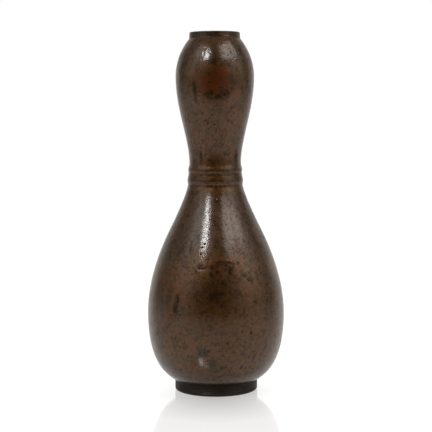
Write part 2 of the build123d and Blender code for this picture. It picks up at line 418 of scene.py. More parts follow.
def spin_piece(name, outline, steps):
    """Extrudes one point along a closed outline and spins the outline round the vessel's axis."""
    piece = start_piece(name, bpy.ops.mesh.primitive_plane_add, size=MM)
    bpy.ops.mesh.merge(type="CENTER")
    bpy.ops.transform.translate(value=(outline[0][0] * MM, 0.0, outline[0][1] * MM))
    for here, there in zip(outline, outline[1:] + outline[:1]):
        shift = ((there[0] - here[0]) * MM, 0.0, (there[1] - here[1]) * MM)
        bpy.ops.mesh.extrude_region_move(TRANSFORM_OT_translate={"value": shift})
    bpy.ops.mesh.select_all(action="SELECT")
    bpy.ops.mesh.remove_doubles(threshold=MERGE_DISTANCE * MM)
    bpy.ops.mesh.spin(steps=steps, angle=math.tau, center=(0, 0, 0), axis=(0, 0, 1), use_auto_merge=True)
    bpy.ops.mesh.select_all(action="SELECT")
    bpy.ops.mesh.remove_doubles(threshold=MERGE_DISTANCE * MM)
    bpy.ops.mesh.normals_make_consistent(inside=False)
    bpy.ops.object.mode_set(mode="OBJECT")
    bpy.ops.object.shade_smooth_by_angle(angle=math.radians(SMOOTH_ANGLE))
    print(name, len(piece.data.vertices), "points", len(piece.data.polygons), "faces")
    return piece


# %% [markdown]
# ## The two castings
# The lower casting is belly, shoulder and underside, with a flange below and a tube above. The
# upper one is neck and bulb. They could be solidified from a skin, but then the wall would be even.
# Instead both are spun from a closed outline, outside and lining together, as the frame has them.

# %% Lower casting
UNDERSIDE_POINTS, BELLY_POINTS, SHOULDER_POINTS = 66, 70, 38
FLOOR_POINTS, BELLY_INSIDE_POINTS, SHOULDER_INSIDE_POINTS = 14, 12, 8
BODY_SPIN_STEPS = 360

shoulder_lean = math.radians(SHOULDER_LEAN)
shoulder_inside = (
    SHOULDER_RADIUS - WALL * math.cos(shoulder_lean),
    SHOULDER_LEVEL - WALL * math.sin(shoulder_lean),
)
body_outside = joined(
    curve_points(
        (SEAM_RADIUS, FOOT_HEIGHT), UNDERSIDE_ANGLE,
        (BELLY_RADIUS, BELLY_LEVEL), UPRIGHT, UNDERSIDE_FULLNESS, UNDERSIDE_POINTS,
    ),
    curve_points(
        (BELLY_RADIUS, BELLY_LEVEL), UPRIGHT,
        (SHOULDER_RADIUS, SHOULDER_LEVEL), SHOULDER_ANGLE, BELLY_FULLNESS, BELLY_POINTS,
    ),
    curve_points(
        (SHOULDER_RADIUS, SHOULDER_LEVEL), SHOULDER_ANGLE,
        (COLLAR_LOW_RADIUS, COLLAR_LEVEL), NECK_ROOT_ANGLE, SHOULDER_FULLNESS, SHOULDER_POINTS,
    ),
)
body_lining = joined(
    curve_points(
        (FLANGE_BORE, FLOOR_LEVEL), LEVEL,
        (BELLY_RADIUS - WALL, BELLY_LEVEL), UPRIGHT, FLOOR_FULLNESS, FLOOR_POINTS,
    ),
    curve_points(
        (BELLY_RADIUS - WALL, BELLY_LEVEL), UPRIGHT,
        shoulder_inside, SHOULDER_ANGLE, BELLY_FULLNESS, BELLY_INSIDE_POINTS,
    ),
    curve_points(
        shoulder_inside, SHOULDER_ANGLE,
        (TUBE_BORE, COLLAR_LEVEL), UPRIGHT, SHOULDER_INSIDE_FULLNESS, SHOULDER_INSIDE_POINTS,
    ),
)
lower_casting = spin_piece(
    "lower_casting",
    joined(
        body_outside,
        [(TUBE_RADIUS, COLLAR_LEVEL), (TUBE_RADIUS, JOINT_LEVEL), (TUBE_BORE, JOINT_LEVEL)],
        reversed(body_lining),
        [(FLANGE_BORE, FLANGE_END), (FLANGE_RADIUS, FLANGE_END), (FLANGE_RADIUS, FOOT_HEIGHT)],
    ),
    BODY_SPIN_STEPS,
)

# %% Upper casting
NECK_POINTS, CROWN_POINTS = 80, 42
NECK_INSIDE_POINTS, CROWN_INSIDE_POINTS = 14, 10
SPIN_STEPS = 288

bulb_outside = joined(
    curve_points(
        (COLLAR_RADIUS, COLLAR_TOP), UPRIGHT,
        (BULB_RADIUS, BULB_LEVEL), UPRIGHT, NECK_FULLNESS, NECK_POINTS,
    ),
    curve_points(
        (BULB_RADIUS, BULB_LEVEL), UPRIGHT,
        (CROWN_RADIUS, RIM_LEVEL), CROWN_ANGLE, CROWN_FULLNESS, CROWN_POINTS,
    ),
)
bulb_lining = joined(
    curve_points(
        (TUBE_BORE, COLLAR_TOP), UPRIGHT,
        (BULB_RADIUS - WALL, BULB_LEVEL), UPRIGHT, NECK_FULLNESS, NECK_INSIDE_POINTS,
    ),
    curve_points(
        (BULB_RADIUS - WALL, BULB_LEVEL), UPRIGHT,
        (OPENING_RADIUS, SPIGOT_END), CROWN_INSIDE_ANGLE, CROWN_INSIDE_FULLNESS, CROWN_INSIDE_POINTS,
    ),
)
upper_casting = spin_piece(
    "upper_casting",
    joined(
        bulb_outside,
        [(OPENING_RADIUS, RIM_LEVEL)],
        reversed(bulb_lining),
        [(TUBE_BORE, JOINT_LEVEL), (TUBE_RADIUS, JOINT_LEVEL), (TUBE_RADIUS, COLLAR_TOP)],
    ),
    SPIN_STEPS,
)

# %% [markdown]
# ## Beaded sleeve, lip, foot and disc
# The sleeve has two rounded beads with a shallow groove between them, worn soft by handling, and a
# fine line cut round the lower bead. The lip is a plain ring with a small round on its edge. The
# foot is turned on a lathe and keeps a few shallow tool lines. Beads and lines could be bevelled
# rings, but as part of the spun outline they keep their soft, worn section all the way round.

# %% Beaded sleeve
# Each bead, and the cut line, has a place and a width as shares of the sleeve's height, and a relief.
GROOVE_PLACE, GROOVE_SWELL = 0.447, 0.27
BEADS = ((0.188, 0.365, 0.57), (0.688, 0.425, 0.52))
BEAD_LINE = (0.785, 0.030, 0.06)
UPPER_FLANK = 1.2
SLEEVE_STEPS = 110
SLEEVE_HEIGHT = COLLAR_TOP - COLLAR_LEVEL


def sleeve_radius(height):
    """Returns the sleeve's radius at a height: its taper, its swell, and the bead or line there."""
    down = (COLLAR_TOP - height) / SLEEVE_HEIGHT
    radius = COLLAR_RADIUS + down * (COLLAR_LOW_RADIUS - COLLAR_RADIUS)
    radius += GROOVE_SWELL * min(down / GROOVE_PLACE, (1 - down) / (1 - GROOVE_PLACE))
    for place, share, relief in BEADS:
        across = (down - place) / (share / 2)
        if 0.0 <= across < 1.0:
            radius += relief * (1 - across ** 2)
        elif -1.0 < across < 0.0:
            radius += relief * (1 - (-across) ** UPPER_FLANK)
    place, share, depth = BEAD_LINE
    across = abs(down - place) / (share / 2)
    if across < 1.0:
        radius -= depth * (1 - across ** 2)
    return radius


sleeve_heights = [COLLAR_LEVEL + SLEEVE_HEIGHT * i / SLEEVE_STEPS for i in range(SLEEVE_STEPS + 1)]
sleeve_outside = [(sleeve_radius(height), height) for height in sleeve_heights]
beaded_sleeve = spin_piece(
    "beaded_sleeve",
    joined(sleeve_outside, [(COLLAR_BORE, COLLAR_TOP), (COLLAR_BORE, COLLAR_LEVEL)]),
    SPIN_STEPS,
)

# %% Lip
LIP_ROUND = 0.9
ARC_STEPS = 8
LIP_STEPS = 10
LIP_SPIN_STEPS = 240


def arc_points(middle, radius, start, end, count):
    """Returns points on an arc between two angles, in degrees from level."""
    angles = [math.radians(start + (end - start) * i / count) for i in range(count + 1)]
    return [(middle[0] + radius * math.cos(a), middle[1] + radius * math.sin(a)) for a in angles]


lip_top = TOTAL_HEIGHT - LIP_ROUND
lip_side = [
    (
        RIM_LOW_RADIUS + (RIM_RADIUS - RIM_LOW_RADIUS) * i / LIP_STEPS,
        RIM_LEVEL + (lip_top - RIM_LEVEL) * i / LIP_STEPS,
    )
    for i in range(LIP_STEPS)
]
lip = spin_piece(
    "lip",
    joined(
        lip_side,
        arc_points((RIM_RADIUS - LIP_ROUND, lip_top), LIP_ROUND, 0.0, 90.0, ARC_STEPS),
        arc_points((MOUTH_RADIUS + LIP_ROUND, lip_top), LIP_ROUND, 90.0, 180.0, ARC_STEPS),
        [(MOUTH_RADIUS, RIM_LEVEL), (MOUTH_RADIUS, SPIGOT_END)],
        [(SPIGOT_RADIUS, SPIGOT_END), (SPIGOT_RADIUS, RIM_LEVEL)],
    ),
    LIP_SPIN_STEPS,
)

# %% Foot
FOOT_ROUND, FOOT_INNER_ROUND = 1.8, 0.8
FOOT_LINES = (2.6, 3.9, 5.2, 6.5)
FOOT_LINE_DEPTH, FOOT_LINE_HALF = 0.30, 0.45
FOOT_SIDE_STEPS = 48


def foot_radius(height):
    """Returns the foot's outside radius, drawn in a little along each turned line."""
    radius = FOOT_RADIUS
    for line in FOOT_LINES:
        across = abs(height - line) / FOOT_LINE_HALF
        if across < 1.0:
            radius -= FOOT_LINE_DEPTH * (0.5 + 0.5 * math.cos(math.pi * across))
    return radius


side_height = FOOT_HEIGHT - FOOT_ROUND
side_heights = [FOOT_ROUND + side_height * i / FOOT_SIDE_STEPS for i in range(FOOT_SIDE_STEPS + 1)]
inner_round_middle = (FOOT_BORE + FOOT_INNER_ROUND, FOOT_INNER_ROUND)
turned_foot = spin_piece(
    "turned_foot",
    joined(
        arc_points((FOOT_RADIUS - FOOT_ROUND, FOOT_ROUND), FOOT_ROUND, -90.0, 0.0, ARC_STEPS),
        [(foot_radius(height), height) for height in side_heights],
        [(FOOT_BORE, FOOT_HEIGHT), (FOOT_BORE, FOOT_INNER_ROUND)],
        arc_points(inner_round_middle, FOOT_INNER_ROUND, 180.0, 270.0, ARC_STEPS),
    ),
    SPIN_STEPS,
)

# %% Disc under the body
DISC_SIDES = 144
DISC_RINGS = (22.0, 14.0, 6.0)
DISC_STEP = 0.25
DISC_SMOOTH_ANGLE = 30.0
LOOKS_DOWN = -0.9

base_disc = start_piece(
    "base_disc", bpy.ops.mesh.primitive_cylinder_add,
    vertices=DISC_SIDES, radius=FLANGE_RADIUS * MM, depth=(FLANGE_END - BASE_UNDER) * MM,
)
bpy.ops.transform.translate(value=(0.0, 0.0, (FLANGE_END + BASE_UNDER) / 2 * MM))
bpy.ops.mesh.select_mode(type="FACE")
bpy.ops.mesh.select_all(action="DESELECT")
disc_mesh = bmesh.from_edit_mesh(base_disc.data)
for face in disc_mesh.faces:
    face.select_set(face.normal.z < LOOKS_DOWN)
inside_of = FLANGE_RADIUS
for ring in DISC_RINGS:
    bpy.ops.mesh.inset(thickness=(inside_of - ring) * MM, depth=0.0)
    bpy.ops.mesh.inset(thickness=DISC_STEP * MM, depth=-DISC_STEP * MM)
    inside_of = ring - DISC_STEP
bpy.ops.object.mode_set(mode="OBJECT")
bpy.ops.object.shade_smooth_by_angle(angle=math.radians(DISC_SMOOTH_ANGLE))
print("base_disc", len(base_disc.data.polygons), "faces")

# %% [markdown]
# ## Cast and worn surface
# A casting dressed by hand is never quite true, so its outside gets slow waves and a finer unevenness.
# A bump in the finish could hint at it, but real waves also bend the highlights and the outline. Both
# only sink in, which keeps the piece within its outline, and they fade out towards the seams. The
# weights of the outside skin are kept in a vertex group that the displacement reads.

# %% Weights of the outside skin
LOOKS_OUT = 0.15


def make_active(piece):
    """Selects one piece alone and makes it the active one."""
    bpy.ops.object.select_all(action="DESELECT")
    piece.select_set(True)
    bpy.context.view_layer.objects.active = piece


def looks_out(point, normal):
    """Tells how far a surface looks away from the vessel's axis, from -1 to 1."""
    reach = math.hypot(point.x, point.y)
    return (point.x * normal.x + point.y * normal.y) / reach if reach > 0 else 0.0


def weigh_outside(piece, low, high, fade):
    """Weighs the outside skin between two heights, fading to nothing at its ends."""
    group = piece.vertex_groups.new(name="outside")
    for vertex in piece.data.vertices:
        height = vertex.co.z / MM
        weight = min(1.0, (height - low) / fade, (high - height) / fade)
        if weight > 0 and looks_out(vertex.co, vertex.normal) > LOOKS_OUT:
            group.add([vertex.index], weight, "REPLACE")


# %% Waves of the hand-dressed skin
# Each pattern has a size and a depth in millimetres, each piece two heights and the length of its fade.
SLOW_WAVES = ("slow_waves", 24.0, 0.16)
FINE_WAVES = ("fine_unevenness", 6.0, 0.035)
WAVE_DETAIL = 2


def sink(piece, name, size, depth):
    """Sinks the weighed skin by a cloud pattern of the given size and depth in millimetres."""
    pattern = bpy.data.textures.new(name, "CLOUDS")
    pattern.noise_scale = size * MM
    pattern.noise_depth = WAVE_DETAIL
    make_active(piece)
    bpy.ops.object.modifier_add(type="DISPLACE")
    displace = piece.modifiers[-1]
    displace.texture = pattern
    displace.texture_coords = "LOCAL"
    displace.vertex_group = "outside"
    displace.mid_level = 1.0
    displace.strength = depth * MM
    bpy.ops.object.modifier_apply(modifier=displace.name)


for piece, low, high, fade in (
    (lower_casting, FOOT_HEIGHT, COLLAR_LEVEL, 6.0),
    (upper_casting, COLLAR_TOP, RIM_LEVEL, 4.0),
    (beaded_sleeve, COLLAR_LEVEL, COLLAR_TOP, 1.5),
    (lip, RIM_LEVEL, TOTAL_HEIGHT, 1.0),
):
    weigh_outside(piece, low, high, fade)
    sink(piece, *SLOW_WAVES)
    sink(piece, *FINE_WAVES)
    print(piece.name, "waves sunk")

# %% [markdown]
# ## Pits and scratches
# The photograph shows small casting pits in the left streak, pits on the neck, worn crescents across
# the shoulder and a few dents low on the belly. Each could be cut with a tool shape. Pressing the
# skin in by a weight is gentler and keeps the mesh closed. The sides and the back get a seeded scatter
# of the same kind of pit. The mesh is made finer first where a pit is small.

# %% Places of the hollows
# Each hollow has a turn from the front in degrees, then its height, half width, half height and depth.
BODY_HOLLOWS = (
    (-11.7, 118.9, 0.8, 0.9, 0.34), (-14.2, 116.4, 0.9, 0.9, 0.34), (-15.0, 111.3, 0.8, 1.1, 0.30),
    (2.9, 151.6, 1.0, 0.9, 0.42), (-11.3, 132.4, 2.6, 1.4, 0.05), (-11.4, 141.2, 2.2, 1.2, 0.04),
    (-6.6, 108.5, 3.0, 1.6, 0.05), (-14.0, 102.6, 4.0, 1.7, 0.07), (-6.3, 101.9, 3.0, 1.6, 0.05),
    (13.9, 104.6, 3.6, 1.7, 0.06), (20.8, 103.7, 2.6, 1.7, 0.05), (-2.5, 99.0, 2.4, 1.6, 0.05),
    (14.3, 100.3, 2.6, 1.6, 0.05), (34.2, 74.9, 1.4, 1.3, 0.20), (47.6, 75.2, 1.0, 1.0, 0.16),
    (-12.5, 30.9, 1.6, 3.6, 0.12), (-2.8, 28.7, 3.4, 4.4, 0.09), (-35.8, 22.7, 1.0, 1.0, 0.16),
    (23.6, 25.2, 1.0, 1.2, 0.16), (-2.9, 15.7, 1.0, 1.0, 0.14), (-15.1, 82.8, 0.9, 0.8, 0.12),
    (0.2, 80.0, 0.9, 0.8, 0.12), (29.9, 52.5, 1.2, 1.3, 0.14), (9.1, 45.2, 1.0, 0.9, 0.14),
)
BULB_HOLLOWS = (
    (-12.1, 210.4, 1.0, 1.0, 0.26), (-4.9, 216.4, 0.8, 0.8, 0.22), (-1.8, 208.9, 0.8, 0.7, 0.20),
    (-15.5, 211.9, 0.8, 0.7, 0.20), (27.5, 263.4, 1.5, 2.4, 0.24), (-18.0, 262.5, 1.6, 2.6, 0.12),
    (-15.0, 266.5, 1.8, 1.6, 0.10), (-20.5, 258.6, 1.4, 1.2, 0.08), (-8.5, 264.0, 1.6, 2.2, 0.06),
    (18.0, 268.0, 2.2, 1.4, 0.06), (21.5, 260.6, 1.9, 1.5, 0.09), (31.5, 259.0, 1.7, 1.3, 0.09),
    (23.5, 266.8, 1.7, 1.3, 0.08), (33.5, 265.0, 1.4, 1.8, 0.08), (28.5, 257.6, 1.5, 1.1, 0.08),
)
LIP_HOLLOWS = (
    (27.9, 276.6, 3.6, 0.5, 0.14), (18.0, 277.5, 4.0, 0.4, 0.10), (-52.0, 279.2, 1.6, 0.9, 0.22),
)
print("hollows", len(BODY_HOLLOWS), len(BULB_HOLLOWS), len(LIP_HOLLOWS))

# %% Hollow helpers
BACK_TURNS = (58.0, 302.0)
PIT_HALF_SIZE, PIT_DEPTH = (0.6, 1.5), (0.08, 0.22)
PIT_SEED = 11
SMALL_HOLLOW = 1.6
FINER_RISE, FINER_REACH, FINER_CUTS = 6.0, 1.9, 3
chance = random.Random(PIT_SEED)


def back_pits(low, high, count):
    """Returns a seeded scatter of small pits over the sides and the back."""
    return tuple(
        (
            chance.uniform(*BACK_TURNS), chance.uniform(low, high), chance.uniform(*PIT_HALF_SIZE),
            chance.uniform(*PIT_HALF_SIZE), chance.uniform(*PIT_DEPTH),
        )
        for _ in range(count)
    )


def away_from(point, hollow):
    """Returns a point's distance from a hollow, where 1 is the hollow's edge."""
    turn, height, half_width, half_height, _ = hollow
    swing = math.atan2(point.x, -point.y) - math.radians(turn)
    swing = (swing + math.pi) % math.tau - math.pi
    across = swing * math.hypot(point.x, point.y) / MM
    return math.hypot(across / half_width, (point.z / MM - height) / half_height)


def refine_round(piece, hollows):
    """Makes the skin finer round the small ones of some hollows."""
    make_active(piece)
    bpy.ops.object.mode_set(mode="EDIT")
    bpy.ops.mesh.select_mode(type="FACE")
    bpy.ops.mesh.select_all(action="DESELECT")
    mesh = bmesh.from_edit_mesh(piece.data)
    small = [hollow for hollow in hollows if min(hollow[2], hollow[3]) < SMALL_HOLLOW]
    for face in mesh.faces:
        middle = face.calc_center_median()
        near = looks_out(middle, face.normal) > LOOKS_OUT and any(
            abs(middle.z / MM - hollow[1]) < FINER_RISE and away_from(middle, hollow) < FINER_REACH
            for hollow in small
        )
        face.select_set(near)
    bmesh.update_edit_mesh(piece.data)
    bpy.ops.mesh.subdivide(number_cuts=FINER_CUTS)
    bpy.ops.object.mode_set(mode="OBJECT")


# %% Press the hollows in
BODY_PITS, BODY_PIT_LEVELS = 46, (20.0, 150.0)
BULB_PITS, BULB_PIT_LEVELS = 23, (184.0, 268.0)


def depth_at(point, hollows):
    """Returns how deep the deepest of some hollows is at a point, in millimetres."""
    depth = 0.0
    for hollow in hollows:
        if abs(point.z / MM - hollow[1]) < hollow[3]:
            away = away_from(point, hollow)
            if away < 1.0:
                depth = max(depth, hollow[4] * (0.5 + 0.5 * math.cos(math.pi * away)))
    return depth


def press_hollows(piece, hollows):
    """Refines the skin round the small hollows, then presses every hollow in by its depth."""
    refine_round(piece, hollows)
    group = piece.vertex_groups.new(name="hollows")
    for vertex in piece.data.vertices:
        if looks_out(vertex.co, vertex.normal) >= LOOKS_OUT:
            depth = depth_at(vertex.co, hollows)
            if depth > 0:
                group.add([vertex.index], depth, "REPLACE")
    bpy.ops.object.modifier_add(type="DISPLACE")
    displace = piece.modifiers[-1]
    displace.vertex_group = "hollows"
    displace.mid_level = 0.0
    displace.strength = -MM
    bpy.ops.object.modifier_apply(modifier=displace.name)
    print(piece.name, len(hollows), "hollows,", len(piece.data.polygons), "faces")


press_hollows(lower_casting, BODY_HOLLOWS + back_pits(*BODY_PIT_LEVELS, BODY_PITS))
press_hollows(upper_casting, BULB_HOLLOWS + back_pits(*BULB_PIT_LEVELS, BULB_PITS))
press_hollows(lip, LIP_HOLLOWS)

# %% [markdown]
# ## Spacers
# Square bronze spacers held the core while the metal was poured, and were filed flush afterwards.
# They could be small boxes set in the wall, but then their faces would not follow the skin. Each is
# a prism's share of the wall instead: a copy of the casting is cut down to the prisms, and the casting
# itself loses them, so both keep the same uneven skin.

# %% Spacers cut from the walls
# Each ring of spacers has a height, the turn of its first spacer from +X, and a count.
SPACER_SIZE = 6.0
BODY_SPACERS = ((37.4, -101.5, 4), (108.0, 90.0, 3))
BULB_SPACERS = ((236.1, 90.0, 3),)
PRISM_START, PRISM_LENGTH = 6.0, 54.0


def cut(piece, tool, operation):
    """Cuts a piece with another one and applies the cut."""
    make_active(piece)
    bpy.ops.object.modifier_add(type="BOOLEAN")
    boolean = piece.modifiers[-1]
    boolean.operation = operation
    boolean.solver = "MANIFOLD"
    boolean.object = tool
    bpy.ops.object.modifier_apply(modifier=boolean.name)
    bpy.ops.object.shade_smooth_by_angle(angle=math.radians(SMOOTH_ANGLE))


def cut_spacers(casting, name, rings):
    """Makes the spacers of one casting, and leaves holes of the same size in it."""
    prisms = []
    for height, turn, count in rings:
        for step in range(count):
            angle = math.radians(turn + step * 360.0 / count)
            reach = (PRISM_START + PRISM_LENGTH / 2) * MM
            bpy.ops.mesh.primitive_cube_add(
                size=1.0, location=(reach * math.cos(angle), reach * math.sin(angle), height * MM),
                rotation=(0.0, 0.0, angle), scale=(PRISM_LENGTH * MM, SPACER_SIZE * MM, SPACER_SIZE * MM),
            )
            prisms.append(bpy.context.object)
    bpy.ops.object.select_all(action="DESELECT")
    for prism in prisms:
        prism.select_set(True)
    bpy.ops.object.join()
    tool = bpy.context.object
    make_active(casting)
    bpy.ops.object.duplicate()
    spacers = bpy.context.object
    spacers.name = spacers.data.name = name
    cut(spacers, tool, "INTERSECT")
    cut(casting, tool, "DIFFERENCE")
    make_active(tool)
    bpy.ops.object.delete()
    print(name, len(spacers.data.polygons), "faces,", casting.name, len(casting.data.polygons), "faces")
    return spacers


body_spacers = cut_spacers(lower_casting, "body_spacers", BODY_SPACERS)
bulb_spacers = cut_spacers(upper_casting, "bulb_spacers", BULB_SPACERS)

# %% [markdown]
# ## Patina
# The bronze is browned and waxed. Two layers show: the browned metal, which mirrors the bright table
# and backdrop softly and in its own warm tone, and the clear wax on top, whose sharper highlights are
# neutral. Under the wax the brown is cloudy, with olive and reddish clouds, dark stains, a grey-green
# haze and a fine grain. It could be painted on a flat map, but solid patterns sized in millimetres run
# on from piece to piece and have no seams.

# %% Clouds and coats of colour
CLOUD_DETAIL = {"Detail": 4.0, "Roughness": 0.6}


def new_material(name):
    """Starts a material with object coordinates in millimetres."""
    material = bpy.data.materials.new(name)
    material.use_nodes = True
    tree = material.node_tree
    tree.nodes.clear()
    local = add_node(tree, "ShaderNodeTexCoord").outputs["Object"]
    per_mm = (1.0 / MM, 1.0 / MM, 1.0 / MM)
    place = add_node(tree, VECTOR_MATH, {0: local, 1: per_mm}, operation="MULTIPLY")
    return material, tree, place


def cloud_mask(tree, place, size, seed, start, end):
    """Returns soft clouds of a size in millimetres, empty where their noise is start, full at end."""
    pattern = add_node(
        tree, NOISE, {"Vector": place, "W": seed, "Scale": 1.0 / size, **CLOUD_DETAIL}, noise_dimensions="4D",
    )
    return add_node(
        tree, MAP_RANGE, {"Value": pattern, "From Min": start, "From Max": end},
        interpolation_type="SMOOTHSTEP",
    )


def colour_coat(tree, under, tint, mask, strength):
    """Lays a coat of a tint over the colour under it, through a mask."""
    share = add_node(tree, MATH, {0: mask, 1: strength}, operation="MULTIPLY")
    return add_node(tree, "ShaderNodeMix", {0: share, 6: under, 7: linear(tint)}, data_type="RGBA").outputs[2]


# %% [markdown]
# ## Pinholes and corrosion fronts
# Cast bronze has pinholes, and old patina has thin dark lines where corrosion stopped. Both are finer
# than a pixel here, so they are drawn coarse enough to show. Pinholes are the middles of a few cells
# of a cell pattern. The fronts are contour lines of a noise, which wander and close as real ones do.

# %% Pinholes and fronts
PINHOLE_SPACING, PINHOLE_EDGE, PINHOLE_CORE = 6.5, 0.17, 0.09
PINHOLE_CHOICE = 0.80
FRONT_SIZE, FRONT_SEED, FRONT_MIDDLE, FRONT_EDGE, FRONT_CORE = 9.0, 51.0, 0.5, 0.024, 0.008
FRONT_BREAKS = (7.0, 53.0, 0.46, 0.58)


def pinhole_mask(tree, place):
    """Returns small dots, one in the middle of each chosen cell."""
    cells = add_node(tree, "ShaderNodeTexVoronoi", {"Vector": place, "Scale": 1.0 / PINHOLE_SPACING})
    dots = add_node(
        tree, MAP_RANGE,
        {"Value": cells.outputs["Distance"], "From Min": PINHOLE_EDGE, "From Max": PINHOLE_CORE},
        interpolation_type="SMOOTHSTEP",
    )
    chosen = add_node(tree, MATH, {0: cells.outputs["Color"], 1: PINHOLE_CHOICE}, operation="GREATER_THAN")
    return add_node(tree, MATH, {0: dots, 1: chosen}, operation="MULTIPLY")


def front_mask(tree, place):
    """Returns thin broken lines along the middle contour of a noise."""
    pattern = add_node(
        tree, NOISE, {"Vector": place, "W": FRONT_SEED, "Scale": 1.0 / FRONT_SIZE, **CLOUD_DETAIL},
        noise_dimensions="4D",
    )
    past_middle = add_node(tree, MATH, {0: pattern, 1: FRONT_MIDDLE}, operation="SUBTRACT")
    off_middle = add_node(tree, MATH, {0: past_middle}, operation="ABSOLUTE")
    lines = add_node(
        tree, MAP_RANGE, {"Value": off_middle, "From Min": FRONT_EDGE, "From Max": FRONT_CORE},
        interpolation_type="SMOOTHSTEP",
    )
    return add_node(tree, MATH, {0: lines, 1: cloud_mask(tree, place, *FRONT_BREAKS)}, operation="MULTIPLY")


# %% [markdown]
# ## Marks
# Stains, drips and rubbed places lie where the photograph shows them, and so do a few painted
# highlights and painted dark reflections. They could be painted by hand, but each is only a soft spot
# with a ragged edge: an ellipsoid round a point of the skin, read through coordinates that wander a
# little.

# %% Marks on the skin
WANDER_SEED = 31.0
MARK_EDGE, MARK_CORE = 1.0, 0.3
MARK_EXTRA_DEPTH = 6.0


def wandering(tree, place, size, reach):
    """Returns coordinates that wander by up to a reach, so that a mark's edge turns ragged."""
    swing = add_node(
        tree, NOISE, {"Vector": place, "W": WANDER_SEED, "Scale": 1.0 / size, **CLOUD_DETAIL},
        noise_dimensions="4D",
    )
    drift = add_node(
        tree, VECTOR_MATH,
        {0: swing.outputs["Color"], 1: (2.0 * reach, 2.0 * reach, 2.0 * reach), 2: (-reach, -reach, -reach)},
        operation="MULTIPLY_ADD",
    )
    return add_node(tree, VECTOR_MATH, {0: place, 1: drift}, operation="ADD")


def skin_radius(outline, height):
    """Returns the radius of an outline at a height."""
    for low, high in zip(outline, outline[1:]):
        if low[1] <= height <= high[1]:
            return low[0] + (high[0] - low[0]) * (height - low[1]) / (high[1] - low[1])
    return outline[-1][0]


def mark_mask(tree, place, outline, marks):
    """Returns a mask of soft spots, each given by turn, height, half width and half height."""
    total = None
    for turn, height, half_width, half_height in marks:
        angle = math.radians(turn)
        radius = skin_radius(outline, height)
        inside = add_node(
            tree, "ShaderNodeMapping",
            {
                "Vector": place, "Rotation": (0.0, 0.0, angle),
                "Location": (radius * math.sin(angle), -radius * math.cos(angle), height),
                "Scale": (half_width, half_width + MARK_EXTRA_DEPTH, half_height),
            },
            vector_type="TEXTURE",
        )
        away = add_node(tree, VECTOR_MATH, {0: inside}, operation="LENGTH")
        mask = add_node(
            tree, MAP_RANGE,
            {"Value": away.outputs["Value"], "From Min": MARK_EDGE, "From Max": MARK_CORE},
            interpolation_type="SMOOTHSTEP",
        )
        total = mask if total is None else add_node(tree, MATH, {0: total, 1: mask}, operation="MAXIMUM")
    return total


# %% [markdown]
# ## Bronze recipe
# One recipe makes every bronze here: a base tone, clouds of other tones, dark pinholes and fronts,
# marks, then the metal, the wax and a fine grain. Separate node trees could be wired for each, but
# they would repeat the same steps. Where the vessel looks up, on the shoulder and the crown, the
# colour is darkened as painted shade, less metal shows and the wax is broken up.

# %% Painted shade and less metal on the shelves
# On the shelves the colour is darkened by the first share as painted shade; the others cut metal and wax.
SHELF_PAINTED_SHADE, SHELF_METAL, SHELF_GRAIN = 0.46, 0.80, 0.28
SHELF_CLOUDS = (2.4, 61.0, 0.47, 0.60)


def shelf_mask(tree, place, shelf):
    """Returns a band between two pairs of heights, where it fades in and where it fades out."""
    level = add_node(tree, "ShaderNodeSeparateXYZ", {0: place}).outputs["Z"]
    ends = [
        add_node(
            tree, MAP_RANGE, {"Value": level, "From Min": start, "From Max": end},
            interpolation_type="SMOOTHSTEP",
        )
        for start, end in shelf
    ]
    return add_node(tree, MATH, {0: ends[0], 1: ends[1]}, operation="MULTIPLY")


# %% Bronze
# A cloud has a size, a seed, the noise where it starts and is full, a tint and a strength.
# A mark has a tint, a strength, the reach of its ragged edge, the wax lost there, and its places.
PINHOLE_TINT, PINHOLE_STRENGTH = "#160d07", 0.6
FRONT_TINT, FRONT_STRENGTH = "#2a1706", 0.45
SOLID_REACH, WANDER_SIZE = 1.5, 3.0
RAGGED_CLOUDS = (3.2, 40.0, 0.32, 0.58)
SPECK_WAX_LOST = 0.5
GRAIN_SEED, GRAIN_BUMP, GRAIN_ROUGHNESS = 22.0, 0.28, 0.2
METAL_SPECULAR = 0.1


